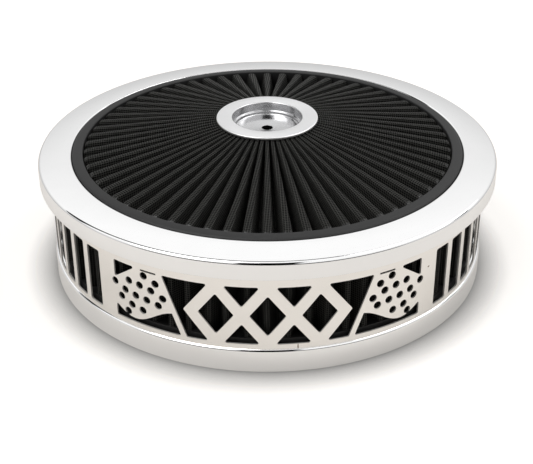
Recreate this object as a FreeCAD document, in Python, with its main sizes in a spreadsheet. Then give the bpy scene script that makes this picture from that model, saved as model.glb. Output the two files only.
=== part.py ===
import FreeCAD, Part
import math
import os
import re
import Sketcher

# Round air cleaner for a carburetor: a pressed base pan, a pleated filter ring, a
# cut-out sheet band round it, and a lid whose top is a second pleated filter.
# The frame stands on the floor at z = 0, +Z is up and the front faces -Y.

os.makedirs("parts", exist_ok=True)
doc = FreeCAD.newDocument("air_cleaner")

# Driving dimensions, in millimetres unless the note says otherwise.
sheet = doc.addObject("Spreadsheet::Sheet", "Sizes")
ALIASES = []


def size(alias, number, note):
    """Put one driving dimension in the sheet's next row."""
    ALIASES.append(alias)
    row = str(len(ALIASES))
    sheet.set("A" + row, note)
    sheet.set("B" + row, number)
    sheet.setAlias("B" + row, alias)


size("lid_radius", "177.8", "outside of the lid's skirt, half of 14 inches")
size("lid_edge_radius", "152.0", "inner edge of the lid's chromed ring")
size("lid_sheet", "1.2", "sheet of the lid's ring")
size("lid_fall", "2.2", "how far the ring's top falls from its inner edge to its shoulder")
size("lid_shoulder", "2.6", "outside radius of the bend from top to skirt")
size("lid_bead", "2.0", "outside radius of the bend at the inner edge")
size("lid_lip", "3.2", "depth of the turned-down inner edge")
size("lid_skirt", "13.5", "depth of the skirt under the shoulder's top")

size("base_radius", "170.8", "outside of the base pan's skirt")
size("base_sheet", "1.2", "sheet of the base pan")
size("base_shoulder", "2.0", "outside radius of the bend from shelf to skirt")
size("shelf_height", "18.4", "top of the shelf that carries the filter and the band")
size("locator_height", "2.0", "rise of the pressed step that centres the filter")
size("locator_width", "2.6", "width of that step's top")
size("panel_height", "10.0", "top of the pan's sunken panel")
size("panel_radius", "134.0", "outer edge of the flat panel")
size("bead_radius", "100.0", "middle of the panel's stiffening bead")
size("bead_width", "12.0", "width of that bead at its foot")
size("bead_height", "1.8", "rise of that bead")
size("neck_radius", "65.1", "bore of the neck over the carburetor's air horn, half of 5 1/8 inches")
size("neck_bend", "3.0", "outside radius of the bend from panel to neck")
size("neck_foot", "1.5", "height of the neck's lower edge over the floor")
size("gasket_width", "8.0", "width of the gasket round the neck")
size("gasket_depth", "2.4", "thickness of that gasket")

size("filter_radius", "165.6", "outside of the side filter")
size("filter_inner_radius", "153.6", "inside of the side filter")
size("filter_height", "75.0", "height of the side filter as it is squeezed, from 3 inches")
size("cap_depth", "6.5", "depth of each moulded end ring of the side filter")
size("seal_rib", "0.8", "height of the sealing rib on each end ring")
size("seal_rib_width", "3.0", "width of that rib at its foot")
size("side_pleats", "74", "number of folds in the side filter")
size("side_pleat_inset", "0.7", "how far the folds stay inside the end rings' faces")
size("side_media", "1.0", "thickness of the side filter's gauze and wire")

size("band_radius", "169.2", "outside of the cut-out band")
size("band_sheet", "1.2", "sheet of the band")
size("rail_height", "3.8", "uncut strip along the band's foot")
size("opening_height", "46.4", "height of the cut-outs")
size("slot_width", "14.2", "width of a bar slot")
size("slot_corner", "1.6", "cut of a slot's corners")
size("slot_start", "47.3", "angle of the first bar slot from the front, in degrees")
size("slots_each_side", "20", "bar slots on each side, up to the seam")
size("slot_pitch", "6.635", "angle from one bar slot to the next, in degrees")
size("flag_end", "116.5", "outer edge of a flag's opening, along the band from the front")
size("flag_fly_top", "54.4", "height at which a flag's upper edge meets its opening's outer edge")
size("flag_fly_low", "33.0", "height at which a flag's lower edge meets its opening's outer edge")
size("flag_shoulder", "96.5", "where a flag's upper edge meets the top rail")
size("pole_top", "75.3", "inner edge of a flagpole at the top rail")
size("pole_foot", "57.3", "inner edge of a flagpole at the bottom rail")
size("pole_width", "4.2", "width of a flagpole along the band")
size("cell_radius", "3.0", "radius of the holes that chequer a flag")
size("lozenge_pitch", "36.0", "distance between neighbouring lozenges of the middle lattice")
size("lattice_stroke", "8.4", "width of the lattice's strips")
size("seam_gap", "0.5", "gap between the band's two ends")
size("splice_width", "20.0", "width of the plate behind the seam")
size("splice_sheet", "0.9", "thickness of that plate")
size("splice_inset", "8.0", "how far that plate stays inside the band's edges")
size("rivet_radius", "1.6", "shank of a seam rivet")
size("rivet_head_radius", "3.0", "head of a seam rivet")
size("rivet_head", "0.9", "height of a rivet's head")
size("rivet_spread", "11.0", "distance between the two rows of rivets")
size("rivets_each_row", "3", "rivets in each row")

size("rim_inner_radius", "143.4", "inside of the lid filter's moulded rim")
size("rim_gap", "0.4", "gap between that rim and the lid's inner edge")
size("rim_proud", "1.2", "how far that rim stands over the lid's top")
size("rim_depth", "20.5", "depth of that rim under the lid's top")
size("ledge_depth", "2.4", "depth of the rim's ledge that grips the lid's lip")
size("lid_pleats", "64", "number of folds in the lid filter")
size("pleat_depth", "18.0", "depth of the lid filter's folds at the rim")
size("pleat_hub_depth", "14.0", "depth of those folds at the hub")
size("crest_width", "5.4", "width of a fold's crest at the rim")
size("crest_hub_width", "1.7", "width of a fold's crest at the hub")
size("lid_media", "0.9", "thickness of the lid filter's gauze and wire at the rim")
size("lid_hub_media", "0.45", "thickness of that gauze where it is pinched at the hub")

size("hub_rise", "22.3", "height of the hub's flange over the lid's top")
size("flange_radius", "39.3", "outside of the hub's flange")
size("flange_depth", "2.2", "thickness of that flange")
size("flange_round", "0.9", "rounding of that flange's outer edge")
size("cup_radius", "27.0", "mouth of the hub's cup")
size("cup_depth", "9.4", "depth of the cup to its floor")
size("cup_step_radius", "25.0", "inside of the cup under its step")
size("cup_step_depth", "7.0", "depth of the cup down to its step")
size("cup_floor", "2.0", "thickness of the cup's floor")
size("stud_hole_radius", "4.2", "clearance hole for a 5/16 inch stud")
size("spigot_radius", "29.3", "outside of the hub's spigot")
size("spigot_wall", "2.0", "wall of the spigot under the floor")
size("potting_radius", "38.0", "outside of the moulding that holds the folds at the hub")
size("potting_depth", "15.6", "depth of that moulding")
size("plate_sheet", "1.2", "thickness of the plate under that moulding")
size("stake_height", "1.0", "how far the spigot is staked past the plate")

size("fit_gap", "0.15", "gap all round where one round piece fits in or over another")
size("seat_gap", "0.3", "gap where a soft or loose piece meets its neighbour")
doc.recompute()

WORD = re.compile(r"[a-z][a-z_]*[a-z]")


def bound(text):
    """Name the sheet in front of each alias of an expression."""
    return WORD.sub(lambda word: "Sizes." + word.group() if word.group() in ALIASES else word.group(), text)


def value(text):
    """The number that an expression of aliases gives."""
    return float(sheet.evalExpression(bound(text)))


# Heights that follow from the driving ones, as expressions of them.
CAP_MIDDLE = "(filter_inner_radius + filter_radius) / 2"
LID_RUN = "(lid_radius - lid_shoulder - lid_edge_radius - lid_bead)"
LID_SLOPE = f"(lid_fall / {LID_RUN})"
RIB_REACH = f"({CAP_MIDDLE} + seal_rib_width / 2 - lid_edge_radius - lid_bead)"
LID_TOP = f"(shelf_height + filter_height + lid_sheet + {LID_SLOPE} * {RIB_REACH})"
LIP_FOOT = f"({LID_TOP} - lid_lip)"
BAND_TOP = f"({LID_TOP} - lid_sheet - {LID_SLOPE} * (band_radius - lid_edge_radius - lid_bead) - seat_gap)"
HUB_TOP = f"({LID_TOP} + hub_rise)"
FLANGE_FOOT = f"({HUB_TOP} - flange_depth)"
POTTING_FOOT = f"({FLANGE_FOOT} - potting_depth)"
PANEL_FOOT = "(panel_height - base_sheet)"


# Turned, pressed and moulded rings: a closed outline (radius, height) revolved about Z.


def corner(radius, height, bend=None):
    """A corner of an outline; bend is the radius coordinate of the arc's centre that leads to it."""
    return {"radius": radius, "height": height, "bend": bend}


def arc_between(start, end, centre_x):
    """The short arc from start to end about a centre with the given x, and whether it runs backwards."""
    (start_x, start_y), (end_x, end_y) = start, end
    reach = (centre_x - end_x) ** 2 - (centre_x - start_x) ** 2 + end_y ** 2 - start_y ** 2
    centre_y = reach / (2 * (end_y - start_y))
    first = math.atan2(start_y - centre_y, start_x - centre_x)
    last = math.atan2(end_y - centre_y, end_x - centre_x)
    turn = (last - first) % (2 * math.pi)
    backwards = turn > math.pi
    if backwards:
        first, last = last, first
    circle = Part.Circle(
        FreeCAD.Vector(centre_x, centre_y, 0),
        FreeCAD.Vector(0, 0, 1),
        math.hypot(start_x - centre_x, start_y - centre_y),
    )
    return Part.ArcOfCircle(circle, first, last), backwards


def pin_point(sketch, geometry, point, axis, text):
    """Hold one coordinate of a sketch point at an expression, or on the axis where it is nought."""
    number = value(text)
    if abs(number) < 1e-9:
        on_axis = {"DistanceX": -2, "DistanceY": -1}[axis]
        sketch.addConstraint(Sketcher.Constraint("PointOnObject", geometry, point, on_axis))
        return
    held = sketch.addConstraint(Sketcher.Constraint(axis, -1, 1, geometry, point, number))
    sketch.setExpression(f"Constraints[{held}]", bound(text))


def ring(label, corners):
    """A body that revolves a closed outline about the Z axis."""
    body = doc.addObject("PartDesign::Body", label)
    body.Label = label
    sketch = body.newObject("Sketcher::SketchObject", label + "_outline")
    upright = next(plane for plane in body.Origin.OriginFeatures if plane.Role == "XZ_Plane")
    sketch.AttachmentSupport = [(upright, "")]
    sketch.MapMode = "FlatFace"
    places = [(value(item["radius"]), value(item["height"])) for item in corners]
    ends = []
    for index, item in enumerate(corners):
        start = places[index - 1]
        end = places[index]
        if item["bend"] is None:
            edge = Part.LineSegment(FreeCAD.Vector(*start, 0), FreeCAD.Vector(*end, 0))
            backwards = False
        else:
            edge, backwards = arc_between(start, end, value(item["bend"]))
        sketch.addGeometry(edge, False)
        ends.append((2, 1) if backwards else (1, 2))
    for index, item in enumerate(corners):
        following = (index + 1) % len(corners)
        arrival = ends[index][1]
        sketch.addConstraint(
            Sketcher.Constraint("Coincident", index, arrival, following, ends[following][0])
        )
        pin_point(sketch, index, arrival, "DistanceX", item["radius"])
        pin_point(sketch, index, arrival, "DistanceY", item["height"])
        if item["bend"] is not None:
            pin_point(sketch, index, 3, "DistanceX", item["bend"])
    turned = body.newObject("PartDesign::Revolution", label + "_turned")
    turned.Profile = sketch
    turned.ReferenceAxis = (sketch, ["V_Axis"])
    turned.Angle = 360
    sketch.Visibility = False
    doc.recompute()
    return body


def lid_rim():
    """Chromed steel ring: inner edge turned down, top falling gently outwards, rolled shoulder, skirt."""
    shoulder = "lid_radius - lid_shoulder"
    shoulder_top = f"{LID_TOP} - lid_fall"
    skirt_foot = f"{shoulder_top} - lid_skirt"
    bead = "lid_edge_radius + lid_bead"
    return ring("lid_rim", [
        corner("lid_edge_radius", LIP_FOOT),
        corner("lid_edge_radius", f"{LID_TOP} - lid_bead"),
        corner(bead, LID_TOP, bend=bead),
        corner(shoulder, shoulder_top),
        corner("lid_radius", f"{shoulder_top} - lid_shoulder", bend=shoulder),
        corner("lid_radius", skirt_foot),
        corner("lid_radius - lid_sheet", skirt_foot),
        corner("lid_radius - lid_sheet", f"{shoulder_top} - lid_shoulder"),
        corner(shoulder, f"{shoulder_top} - lid_sheet", bend=shoulder),
        corner(bead, f"{LID_TOP} - lid_sheet"),
        corner("lid_edge_radius + lid_sheet", f"{LID_TOP} - lid_bead", bend=bead),
        corner("lid_edge_radius + lid_sheet", LIP_FOOT),
    ])


def base_pan():
    """Pressed steel pan: skirt, shelf, step that centres the filter, sunken panel, turned-down neck."""
    shoulder = "base_radius - base_shoulder"
    locator = "filter_inner_radius - seat_gap"
    locator_top = "shelf_height + locator_height"
    drop = "locator_height + shelf_height - panel_height"
    locator_inner = f"{locator} - locator_width"
    bead_outer = "bead_radius + bead_width / 2"
    bead_crown_outer = "bead_radius + bead_width / 4"
    bead_crown_inner = "bead_radius - bead_width / 4"
    bead_inner = "bead_radius - bead_width / 2"
    neck_outer = "neck_radius + neck_bend"
    bend_foot = "panel_height - neck_bend"
    return ring("base_pan", [
        corner("base_radius", "0"),
        corner("base_radius", "shelf_height - base_shoulder"),
        corner(shoulder, "shelf_height", bend=shoulder),
        corner(locator, "shelf_height"),
        corner(locator, locator_top),
        corner(locator_inner, locator_top),
        corner("panel_radius", "panel_height"),
        corner(bead_outer, "panel_height"),
        corner(bead_crown_outer, "panel_height + bead_height"),
        corner(bead_crown_inner, "panel_height + bead_height"),
        corner(bead_inner, "panel_height"),
        corner(neck_outer, "panel_height"),
        corner("neck_radius", bend_foot, bend=neck_outer),
        corner("neck_radius", "neck_foot"),
        corner("neck_radius + base_sheet", "neck_foot"),
        corner("neck_radius + base_sheet", bend_foot),
        corner(neck_outer, PANEL_FOOT, bend=neck_outer),
        corner(bead_inner, PANEL_FOOT),
        corner(bead_crown_inner, f"{PANEL_FOOT} + bead_height"),
        corner(bead_crown_outer, f"{PANEL_FOOT} + bead_height"),
        corner(bead_outer, PANEL_FOOT),
        corner("panel_radius + base_sheet / 2", PANEL_FOOT),
        corner(f"{locator_inner} + base_sheet / 2", f"{PANEL_FOOT} + {drop}"),
        corner(f"{locator} - base_sheet", f"{locator_top} - base_sheet"),
        corner(f"{locator} - base_sheet", "shelf_height - base_sheet"),
        corner(shoulder, "shelf_height - base_sheet"),
        corner("base_radius - base_sheet", "shelf_height - base_shoulder", bend=shoulder),
        corner("base_radius - base_sheet", "0"),
    ])


def neck_gasket():
    """Flat rubber ring under the panel, round the neck."""
    inner = "neck_radius + neck_bend + seat_gap"
    outer = f"{inner} + gasket_width"
    foot = f"{PANEL_FOOT} - gasket_depth"
    return ring("neck_gasket", [
        corner(inner, foot),
        corner(outer, foot),
        corner(outer, PANEL_FOOT),
        corner(inner, PANEL_FOOT),
    ])


def filter_cap(label, face, inwards):
    """Moulded end ring of the side filter, with its sealing rib on the outer face."""
    body_face = f"{face} {inwards} seal_rib"
    back = f"{face} {inwards} cap_depth"
    return ring(label, [
        corner("filter_inner_radius", back),
        corner("filter_radius", back),
        corner("filter_radius", body_face),
        corner(f"{CAP_MIDDLE} + seal_rib_width / 2", body_face),
        corner(CAP_MIDDLE, face),
        corner(f"{CAP_MIDDLE} - seal_rib_width / 2", body_face),
        corner("filter_inner_radius", body_face),
    ])


def lid_filter_rim():
    """Moulded urethane rim of the lid filter; a ledge grips the lid's turned-down edge."""
    outer = "lid_edge_radius - rim_gap"
    ledge = "lid_edge_radius + lid_sheet"
    ledge_top = f"{LIP_FOOT} - fit_gap"
    ledge_foot = f"{ledge_top} - ledge_depth"
    foot = f"{LID_TOP} - rim_depth"
    return ring("lid_filter_rim", [
        corner("rim_inner_radius", foot),
        corner(outer, foot),
        corner(outer, f"{ledge_foot} - ledge_depth"),
        corner(ledge, ledge_foot),
        corner(ledge, ledge_top),
        corner(outer, ledge_top),
        corner(outer, f"{LID_TOP} - rim_gap"),
        corner(f"{outer} - rim_proud", f"{LID_TOP} + rim_proud / 2"),
        corner("rim_inner_radius", f"{LID_TOP} + rim_proud"),
    ])


def hub_cup():
    """Turned aluminium hub: flange over the folds, stepped cup, stud hole, spigot below."""
    floor_top = f"{HUB_TOP} - cup_depth"
    floor_foot = f"{floor_top} - cup_floor"
    step = f"{HUB_TOP} - cup_step_depth"
    spigot_foot = f"{POTTING_FOOT} - plate_sheet - stake_height"
    round_centre = "flange_radius - flange_round"
    return ring("hub_cup", [
        corner("stud_hole_radius", floor_foot),
        corner("spigot_radius - spigot_wall", floor_foot),
        corner("spigot_radius - spigot_wall", spigot_foot),
        corner("spigot_radius", spigot_foot),
        corner("spigot_radius", FLANGE_FOOT),
        corner("flange_radius", FLANGE_FOOT),
        corner("flange_radius", f"{HUB_TOP} - flange_round"),
        corner(round_centre, HUB_TOP, bend=round_centre),
        corner("cup_radius + flange_round", HUB_TOP),
        corner("cup_radius", f"{HUB_TOP} - flange_round", bend="cup_radius + flange_round"),
        corner("cup_radius", step),
        corner("cup_step_radius", step),
        corner("cup_step_radius", floor_top),
        corner("stud_hole_radius", floor_top),
    ])


def hub_potting():
    """Urethane moulding round the spigot, in which the folds' inner ends are set."""
    return ring("hub_potting", [
        corner("spigot_radius + fit_gap", POTTING_FOOT),
        corner("potting_radius", POTTING_FOOT),
        corner("potting_radius", FLANGE_FOOT),
        corner("spigot_radius + fit_gap", FLANGE_FOOT),
    ])


def hub_backing_plate():
    """Steel washer that the spigot's staked end holds under the moulding."""
    foot = f"{POTTING_FOOT} - plate_sheet"
    return ring("hub_backing_plate", [
        corner("spigot_radius + fit_gap", foot),
        corner("potting_radius", foot),
        corner("potting_radius", POTTING_FOOT),
        corner("spigot_radius + fit_gap", POTTING_FOOT),
    ])


# Pleated media: a zigzag with flat crests, given a thickness by moving each side along its normal.


def offset_line(points, distance):
    """The open line of points, moved sideways by a distance with mitred corners."""
    normals = []
    for (start_x, start_y), (end_x, end_y) in zip(points, points[1:]):
        run = math.hypot(end_x - start_x, end_y - start_y)
        normals.append(((end_y - start_y) / run, (start_x - end_x) / run))
    normals = [normals[0]] + normals + [normals[-1]]
    moved = []
    for (x, y), before, after in zip(points, normals, normals[1:]):
        share = distance / (1 + before[0] * after[0] + before[1] * after[1])
        moved.append((x + share * (before[0] + after[0]), y + share * (before[1] + after[1])))
    return moved


def fold_section(pitch, crest, depth, media):
    """Closed section of one fold, crest at height 0 in the middle and half a valley at each side."""
    bevel = crest / 4
    valley = pitch / 2 - crest / 8
    upper = [
        (-pitch / 2, -depth),
        (-valley, -depth),
        (-crest / 2, -bevel),
        (-crest / 2 + bevel, 0),
        (crest / 2 - bevel, 0),
        (crest / 2, -bevel),
        (valley, -depth),
        (pitch / 2, -depth),
    ]
    lower = offset_line(upper, media)
    lower[0] = (-pitch / 2, lower[0][1])
    lower[-1] = (pitch / 2, lower[-1][1])
    return upper + lower[::-1]


def closed_wire(points):
    """A closed wire of straight edges through the points."""
    return Part.makePolygon(points + points[:1])


def ring_of_faces(faces, count):
    """One closed solid from a fold's faces, repeated round the Z axis."""
    turned = []
    for index in range(count):
        for face in faces:
            copy = face.copy()
            copy.rotate(FreeCAD.Vector(0, 0, 0), FreeCAD.Vector(0, 0, 1), 360 * index / count)
            turned.append(copy)
    shell = Part.makeShell(turned)
    shell.sewShape()
    solid = Part.makeSolid(shell)
    if solid.Volume < 0:
        solid.reverse()
    return solid


def open_faces(fold, half_turn):
    """The faces of a fold other than the two on the radial planes where it meets its neighbours."""
    kept = []
    for face in fold.Faces:
        middle = face.CenterOfMass
        off_plane = abs(abs(math.atan2(middle.x, middle.y)) - half_turn)
        if off_plane > half_turn / 1000:
            kept.append(face)
    return kept


def made_by_hand(label, shape):
    """A document object that carries a shape worked out here."""
    item = doc.addObject("Part::Feature", label)
    item.Label = label
    item.Shape = shape
    return item


def lid_filter_pleats():
    """Cone of radial folds from the lid's rim up to the hub, in one piece."""
    count = round(value("lid_pleats"))
    half_turn = math.pi / count
    outer = value("rim_inner_radius - seat_gap")
    inner = value("potting_radius + seat_gap")
    outer_section = fold_section(
        2 * outer * math.tan(half_turn), value("crest_width"), value("pleat_depth"), value("lid_media")
    )
    inner_section = fold_section(
        2 * inner * math.tan(half_turn), value("crest_hub_width"), value("pleat_hub_depth"),
        value("lid_hub_media"),
    )
    outer_crest = value(f"{LID_TOP} + seat_gap")
    inner_crest = value(f"{FLANGE_FOOT} - seat_gap")
    wires = []
    for radius, crest, section in ((outer, outer_crest, outer_section), (inner, inner_crest, inner_section)):
        wires.append(closed_wire([FreeCAD.Vector(x, radius, crest + y) for x, y in section]))
    fold = Part.makeLoft(wires, True, True)
    return made_by_hand("lid_filter_pleats", ring_of_faces(open_faces(fold, half_turn), count))


def side_filter_pleats():
    """Upright folds of the side filter between its two end rings, in one piece."""
    count = round(value("side_pleats"))
    half_turn = math.pi / count
    outer = value("filter_radius - side_pleat_inset")
    depth = value("filter_radius - filter_inner_radius - 2 * side_pleat_inset - side_media")
    foot = value("shelf_height + cap_depth")
    height = value("filter_height - 2 * cap_depth")
    valley_pitch = 2 * (outer - depth) * math.tan(half_turn)
    section = fold_section(valley_pitch, valley_pitch / 3, depth, value("side_media"))
    outline = []
    for x, y in section:
        stretch = (outer + y) * math.tan(half_turn) / (valley_pitch / 2) if abs(x) > 0.499 * valley_pitch else 1
        outline.append(FreeCAD.Vector(x * stretch, outer + y, foot))
    fold = Part.Face(closed_wire(outline)).extrude(FreeCAD.Vector(0, 0, height))
    return made_by_hand("side_filter_pleats", ring_of_faces(open_faces(fold, half_turn), count))


# The band: a rolled strip with cut-outs. A place on it is the distance along its outside from
# the front and the height over the floor.

BAND_RADIUS = value("band_radius")
OPENING_FOOT = value("shelf_height + rail_height")
OPENING_TOP = value("shelf_height + rail_height + opening_height")
CUT_REACH = 8.0


def wall_direction(along):
    """Outward direction of the band at a distance along it from the front."""
    angle = along / BAND_RADIUS
    return FreeCAD.Vector(math.sin(angle), -math.cos(angle), 0)


def on_wall(places, middle):
    """Points inside the band for places (along, height), flat on the plane that faces middle."""
    outward = wall_direction(middle)
    sideways = FreeCAD.Vector(-outward.y, outward.x, 0)
    start = outward * (BAND_RADIUS - CUT_REACH)
    points = []
    for along, height in places:
        offset = BAND_RADIUS * math.sin((along - middle) / BAND_RADIUS)
        points.append(start + sideways * offset + FreeCAD.Vector(0, 0, height))
    return points


def through_wall(wire, middle):
    """The prism that a wire cuts through the band's wall."""
    return Part.Face(wire).extrude(wall_direction(middle) * (2 * CUT_REACH))


def window(places):
    """A straight-sided cut-out."""
    middle = sum(along for along, height in places) / len(places)
    return through_wall(closed_wire(on_wall(places, middle)), middle)


def mirrored(places, side):
    """The same places on the right (side 1) or on the left (side -1) of the front."""
    return [(side * along, height) for along, height in places]


def bar_slot(angle):
    """An upright slot with cut corners, at an angle in degrees from the front."""
    middle = math.radians(angle) * BAND_RADIUS
    half = value("slot_width") / 2
    cut = value("slot_corner")
    return window([
        (middle - half, OPENING_FOOT + cut),
        (middle - half + cut, OPENING_FOOT),
        (middle + half - cut, OPENING_FOOT),
        (middle + half, OPENING_FOOT + cut),
        (middle + half, OPENING_TOP - cut),
        (middle + half - cut, OPENING_TOP),
        (middle - half + cut, OPENING_TOP),
        (middle - half, OPENING_TOP - cut),
    ])


def lattice_windows():
    """Openings of the middle lattice: three lozenges in a row and the triangles between them."""
    half_width = value("lozenge_pitch") / 2
    half_height = value("opening_height") / 2
    diagonal = math.hypot(half_width, half_height)
    middle_height = (OPENING_FOOT + OPENING_TOP) / 2
    inset = value("lattice_stroke") / 2 * diagonal / half_height
    reach = half_width - inset
    rise = reach * half_height / half_width
    cuts = []
    for centre in (-2 * half_width, 0, 2 * half_width):
        cuts.append(window([
            (centre - reach, middle_height),
            (centre, middle_height - rise),
            (centre + reach, middle_height),
            (centre, middle_height + rise),
        ]))
    for centre in (-half_width, half_width):
        cuts.append(window([
            (centre - reach, OPENING_TOP),
            (centre, OPENING_TOP - rise),
            (centre + reach, OPENING_TOP),
        ]))
        cuts.append(window([
            (centre - reach, OPENING_FOOT),
            (centre, OPENING_FOOT + rise),
            (centre + reach, OPENING_FOOT),
        ]))
    return cuts


def pole_edge(height, offset):
    """Distance along the band of a line parallel to the flagpole's inner edge, at a height."""
    share = (height - OPENING_FOOT) / value("opening_height")
    return value("pole_foot") + share * value("pole_top - pole_foot") + offset


def flag_wave(along):
    """Lower edge of a flag: a half wave that starts high at the pole and is lowest near the fly."""
    start = pole_edge(value("flag_fly_low"), value("pole_width"))
    length = value("flag_end") - start
    swing = value("flag_fly_top - flag_fly_low") / 3
    share = (along - start) / length
    return value("flag_fly_low") + swing * math.cos(share * 3 * math.pi / 2) - swing / 8 * (1 - share)


def flag_windows(side):
    """Openings round one flag: beside the pole, over the cloth, the thin slit on top and under the wave."""
    end = value("flag_end")
    pole = value("pole_width")
    half_width = value("lozenge_pitch") / 2
    half_height = value("opening_height") / 2
    inset = value("lattice_stroke") / 2 * math.hypot(half_width, half_height) / half_height
    middle_height = (OPENING_FOOT + OPENING_TOP) / 2
    lattice_tip = 3 * half_width + inset
    lattice_edge = 2 * half_width + inset
    slit = pole / 3
    beside_pole = [
        (lattice_edge, OPENING_FOOT),
        (pole_edge(OPENING_FOOT, 0), OPENING_FOOT),
        (pole_edge(OPENING_TOP, 0), OPENING_TOP),
        (lattice_edge, OPENING_TOP),
        (lattice_tip, middle_height),
    ]
    over_cloth = [
        (value("flag_shoulder"), OPENING_TOP),
        (end, value("flag_fly_top")),
        (end, OPENING_TOP),
    ]
    on_top = [
        (pole_edge(OPENING_TOP, pole), OPENING_TOP - slit),
        (value("flag_shoulder") - pole, OPENING_TOP - slit),
        (value("flag_shoulder") - pole, OPENING_TOP),
        (pole_edge(OPENING_TOP, pole), OPENING_TOP),
    ]
    cuts = [window(mirrored(places, side)) for places in (beside_pole, over_cloth, on_top)]
    start = pole_edge(value("flag_fly_low"), pole)
    steps = 8
    wave = [start + (end - start) * step / steps for step in range(steps + 1)]
    wave_places = mirrored([(along, flag_wave(along)) for along in wave], side)
    pole_place = (pole_edge(flag_wave(start), pole), flag_wave(start))
    foot_places = mirrored([(end, OPENING_FOOT), (pole_edge(OPENING_FOOT, pole), OPENING_FOOT)], side)
    wave_places[0] = mirrored([pole_place], side)[0]
    middle = side * (start + end) / 2
    points = on_wall(wave_places + foot_places, middle)
    curve = Part.BSplineCurve()
    curve.interpolate(points[:steps + 1])
    sides = Part.makePolygon(points[steps:] + points[:1])
    cuts.append(through_wall(Part.Wire([curve.toShape()] + sides.Edges), middle))
    return cuts


def flag_cells(side):
    """Round holes that chequer one flag, in rows that follow its wave and lean with its pole."""
    rows = 5
    columns = 6
    lean = 2.75
    drop = 5.3
    column_step = 6.62
    first_along = 80.4
    first_height = 52.75
    swing = 7.15
    cells = []
    for column in range(columns):
        for row in range(rows):
            if (column + row) % 2 == 0:
                continue
            along = side * (first_along + column_step * column - lean * (row - 1))
            height = first_height + swing * math.cos(math.pi * column / (columns - 1)) - drop * (row - 1)
            outward = wall_direction(along)
            start = outward * (BAND_RADIUS - CUT_REACH) + FreeCAD.Vector(0, 0, height)
            cells.append(Part.makeCylinder(value("cell_radius"), 2 * CUT_REACH, start, outward))
    return cells


def seam_rivet_places():
    """Places (along, height) of the rivets, two upright rows either side of the seam at the back."""
    back = math.pi * BAND_RADIUS
    spread = value("rivet_spread") / 2
    count = round(value("rivets_each_row"))
    foot = value("shelf_height + splice_inset + rivet_head_radius * 2")
    top = value(f"{BAND_TOP} - splice_inset - rivet_head_radius * 2")
    places = []
    for side in (-1, 1):
        for index in range(count):
            places.append((back + side * spread, foot + (top - foot) * index / (count - 1)))
    return places


def rod(place, radius, start, end):
    """A round bar square to the band, from one distance from the axis to another."""
    outward = wall_direction(place[0])
    foot = outward * start + FreeCAD.Vector(0, 0, place[1])
    return Part.makeCylinder(radius, end - start, foot, outward)


def surround_band():
    """Rolled sheet strip on the base's shelf, cut through with the flags, the lattice and the bar slots."""
    outer = doc.addObject("Part::Cylinder", "band_outside")
    outer.setExpression("Radius", bound("band_radius"))
    inner = doc.addObject("Part::Cylinder", "band_inside")
    inner.setExpression("Radius", bound("band_radius - band_sheet"))
    for cylinder in (outer, inner):
        cylinder.setExpression("Height", bound(f"{BAND_TOP} - shelf_height"))
        cylinder.setExpression("Placement.Base.z", bound("shelf_height"))
    blank = doc.addObject("Part::Cut", "band_blank")
    blank.Base = outer
    blank.Tool = inner
    cuts = lattice_windows()
    for side in (-1, 1):
        cuts += flag_windows(side)
        cuts += flag_cells(side)
        for index in range(round(value("slots_each_side"))):
            cuts.append(bar_slot(side * (value("slot_start") + index * value("slot_pitch"))))
    for place in seam_rivet_places():
        cuts.append(rod(place, value("rivet_radius + fit_gap"), BAND_RADIUS - CUT_REACH, BAND_RADIUS + CUT_REACH))
    seam = value("seam_gap")
    height = value(f"{BAND_TOP}")
    cuts.append(Part.makeBox(seam, 2 * CUT_REACH, height, FreeCAD.Vector(-seam / 2, BAND_RADIUS - CUT_REACH, 0)))
    tools = made_by_hand("band_cutouts", Part.makeCompound(cuts))
    band = doc.addObject("Part::Cut", "surround_band")
    band.Label = "surround_band"
    band.Base = blank
    band.Tool = tools
    doc.recompute()
    return band


def band_splice_plate():
    """Curved plate behind the band's seam, with holes for the rivets."""
    outer = value("band_radius - band_sheet - fit_gap / 2")
    thickness = value("splice_sheet")
    foot = value("shelf_height + splice_inset")
    height = value(f"{BAND_TOP} - splice_inset") - foot
    angle = math.degrees(value("splice_width") / BAND_RADIUS)
    base = FreeCAD.Vector(0, 0, foot)
    up = FreeCAD.Vector(0, 0, 1)
    outside = Part.makeCylinder(outer, height, base, up, angle)
    inside = Part.makeCylinder(outer - thickness, height, base, up, angle)
    plate = outside.cut(inside)
    plate.rotate(FreeCAD.Vector(0, 0, 0), up, 90 - angle / 2)
    holes = []
    for place in seam_rivet_places():
        holes.append(rod(place, value("rivet_radius + fit_gap"), BAND_RADIUS - CUT_REACH, BAND_RADIUS + CUT_REACH))
    return made_by_hand("band_splice_plate", plate.cut(Part.makeCompound(holes)))


def band_rivets():
    """Rivets through the band and the splice plate: low round heads outside, flat heads inside."""
    outer_seat = BAND_RADIUS + value("fit_gap") / 2
    inner_seat = value("band_radius - band_sheet - fit_gap - splice_sheet")
    head = value("rivet_head")
    head_radius = value("rivet_head_radius")
    flat_head = head * 0.6
    rivets = []
    for place in seam_rivet_places():
        shank = rod(place, value("rivet_radius"), inner_seat, outer_seat)
        inside = rod(place, head_radius, inner_seat - flat_head, inner_seat)
        outside = rod(place, head_radius, outer_seat, outer_seat + head)
        outward = wall_direction(place[0])
        crown = [edge for edge in outside.Edges if edge.Closed and edge.CenterOfMass.dot(outward) > outer_seat + head / 2]
        outside = outside.makeFillet(head * 0.8, crown)
        rivets.append(shank.fuse([inside, outside]).removeSplitter())
    return made_by_hand("band_rivets", Part.makeCompound(rivets))


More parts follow.
